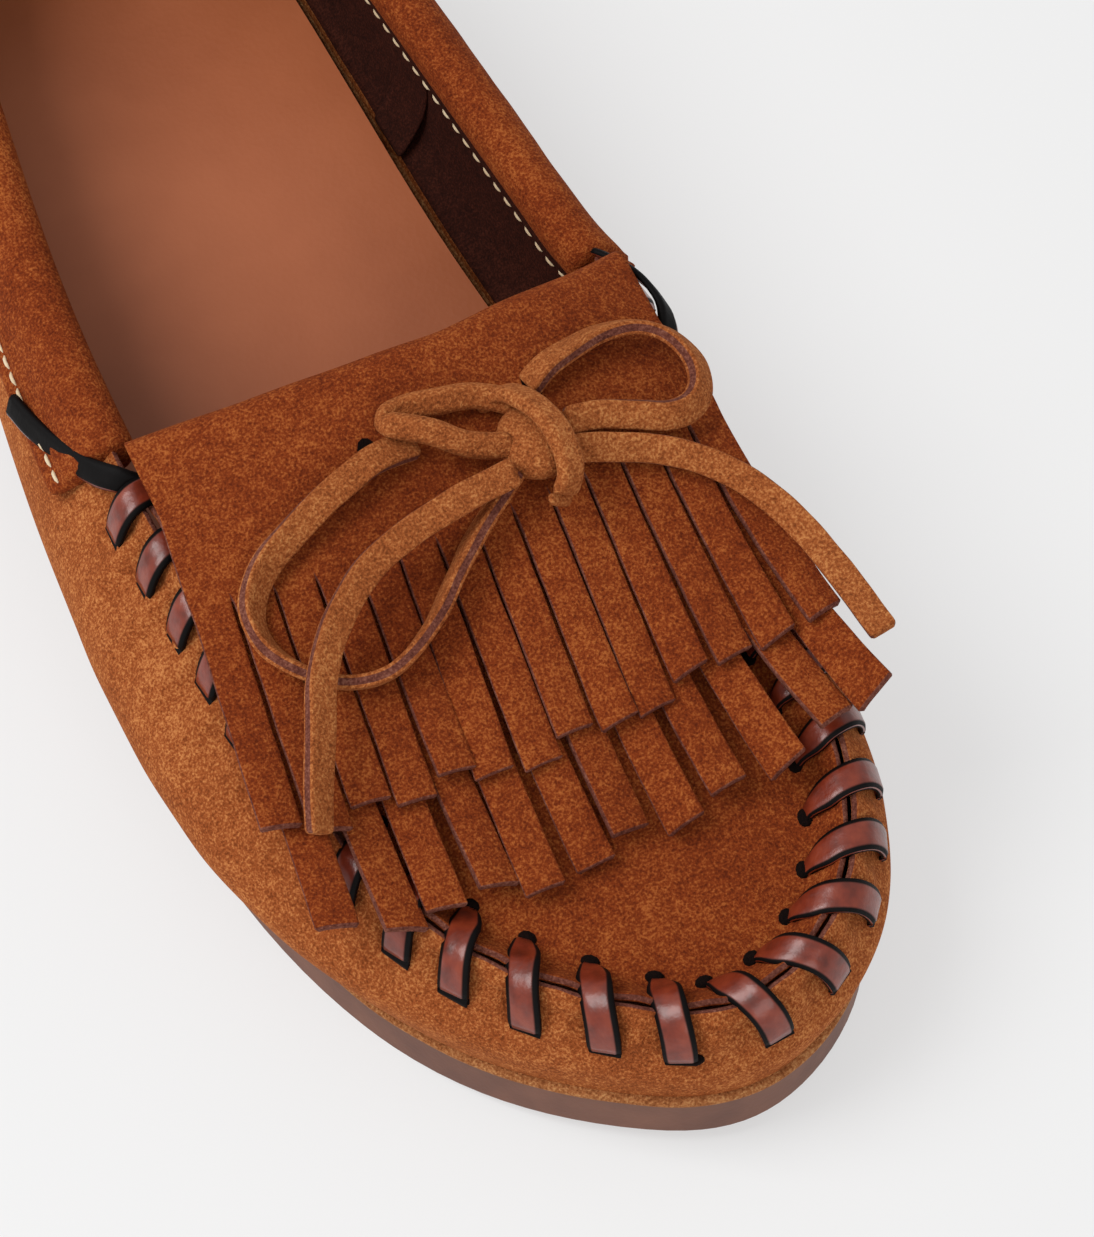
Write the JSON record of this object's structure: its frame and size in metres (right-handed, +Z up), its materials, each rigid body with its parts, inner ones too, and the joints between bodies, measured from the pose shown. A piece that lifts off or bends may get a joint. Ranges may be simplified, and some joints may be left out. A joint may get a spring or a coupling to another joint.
{
  "type": "moccasin",
  "caption": "Right-foot suede moccasin with a whip-stitched plug seam, two liftable fringe layers under a thong bow, a folded collar and a low-heeled rubber sole.",
  "frame": {"origin": "on the floor, in the middle of the shoe's own box, under the foot; the loose bow is left out of that box", "axes": "+Z up; the toe points to -Y and the heel to +Y; +X is the inner, big-toe side of this right shoe"},
  "size_m": [0.1047, 0.2577, 0.065],
  "materials": {
    "suede": "matte suede nap",
    "thong_suede": "matte suede nap, purple-brown cut edges",
    "lace_leather": "glossy burnished face, black-dyed edges and back",
    "lining_leather": "matte",
    "sock_leather": "smooth satin",
    "sole_rubber": "matte",
    "foam": "open-cell foam",
    "insole_board": "pressed fibre",
    "thread": "twisted thread"
  },
  "bodies": {
    "shoe": {"outsole": "sole_rubber", "heel_lift": "sole_rubber", "insole_board": "insole_board", "foam_insole": "foam", "sock_lining": "sock_leather", "vamp": "suede", "quarter_lateral": "suede", "quarter_medial": "suede", "vamp_lining": "lining_leather", "heel_counter": "insole_board", "quarter_lining_lateral": "lining_leather", "quarter_lining_medial": "lining_leather", "heel_backstay": "suede", "collar_cuff_lateral": "suede", "collar_cuff_medial": "suede", "cuff_stitching_lateral": "thread", "cuff_stitching_medial": "thread", "plug": "suede", "plug_lining": "lining_leather", "whip_stitches": "lace_leather", "throat_fold": "suede", "lacing_tail_lateral": "lace_leather", "lacing_tail_medial": "lace_leather"},
    "lower_layer": {"lower_fringe": "suede"},
    "upper_layer": {"upper_fringe": "suede", "bow_loop_left": "thong_suede", "bow_loop_right": "thong_suede", "bow_tail_left": "thong_suede", "bow_tail_right": "thong_suede", "bow_knot": "thong_suede"}
  },
  "joints": [
    {"name": "lower_fringe_lift", "type": "hinge", "parent": "shoe", "child": "lower_layer", "pos_m": [0, -0.0216, 0.0575], "axis": [-1, 0, 0], "range_deg": [0, 55]},
    {"name": "upper_fringe_lift", "type": "hinge", "parent": "lower_layer", "child": "upper_layer", "pos_m": [0, -0.0216, 0.0575], "axis": [-1, 0, 0], "range_deg": [0, 60]}
  ]
}
